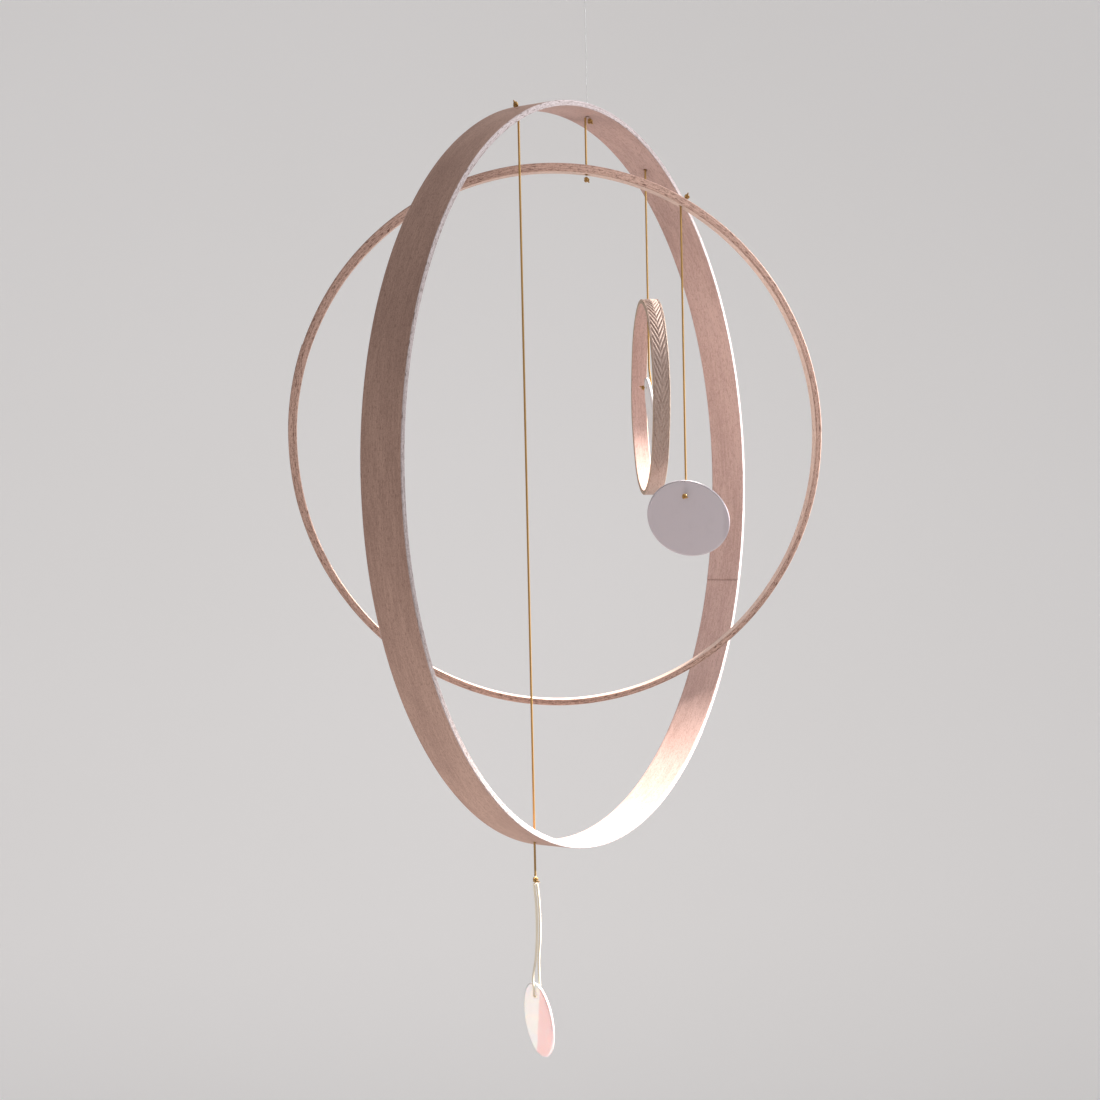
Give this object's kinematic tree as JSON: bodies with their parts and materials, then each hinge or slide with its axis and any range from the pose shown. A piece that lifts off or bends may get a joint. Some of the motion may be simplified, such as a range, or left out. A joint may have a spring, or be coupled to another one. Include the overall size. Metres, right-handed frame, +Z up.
{
  "type": "hanging mobile sculpture",
  "caption": "Hanging mobile of thin bentwood hoops one inside another, a small chevron-carved ring and flat pale discs on knotted gold cords, hung from a clear line.",
  "frame": {"origin": "inside of the top of the small loop that ends the clear hanging line, where a hook bears", "axes": "+Z up along the line; +X to the right and +Y away for a viewer who sees the middle hoop almost face on"},
  "size_m": [0.2929, 0.3606, 0.5763],
  "materials": {
    "large_wood": "pale lilac-pink stain, matte",
    "middle_wood": "brown-pink stain with dark grain, matte",
    "ring_wood": "stained and carved, matte",
    "lilac_disc": "matte grey-lilac paint",
    "white_disc": "satin white paint",
    "pink_disc": "satin white and pale pink paint",
    "gold_cord": "twisted metallic thread",
    "cream_cord": "soft twisted cord",
    "clear_line": "clear nylon"
  },
  "bodies": {
    "root": {"large_hoop": "large_wood", "middle_hoop": "middle_wood", "small_ring": "ring_wood", "right_disc": "lilac_disc", "lower_disc": "pink_disc", "inner_disc": "white_disc", "hanging_line": "clear_line", "hanging_loop": "clear_line", "hanging_loop_knot": "clear_line", "upper_knot": "gold_cord", "upper_cord": "gold_cord", "middle_knot": "gold_cord", "long_cord_knot": "gold_cord", "long_cord": "gold_cord", "loop_knot": "gold_cord", "lower_loop": "cream_cord", "ring_cord_knot": "gold_cord", "ring_cord": "gold_cord", "ring_knot": "gold_cord", "inner_cord": "gold_cord", "inner_disc_knot": "gold_cord", "right_cord_knot": "gold_cord", "right_cord": "gold_cord", "right_disc_knot": "gold_cord"}
  },
  "joints": []
}
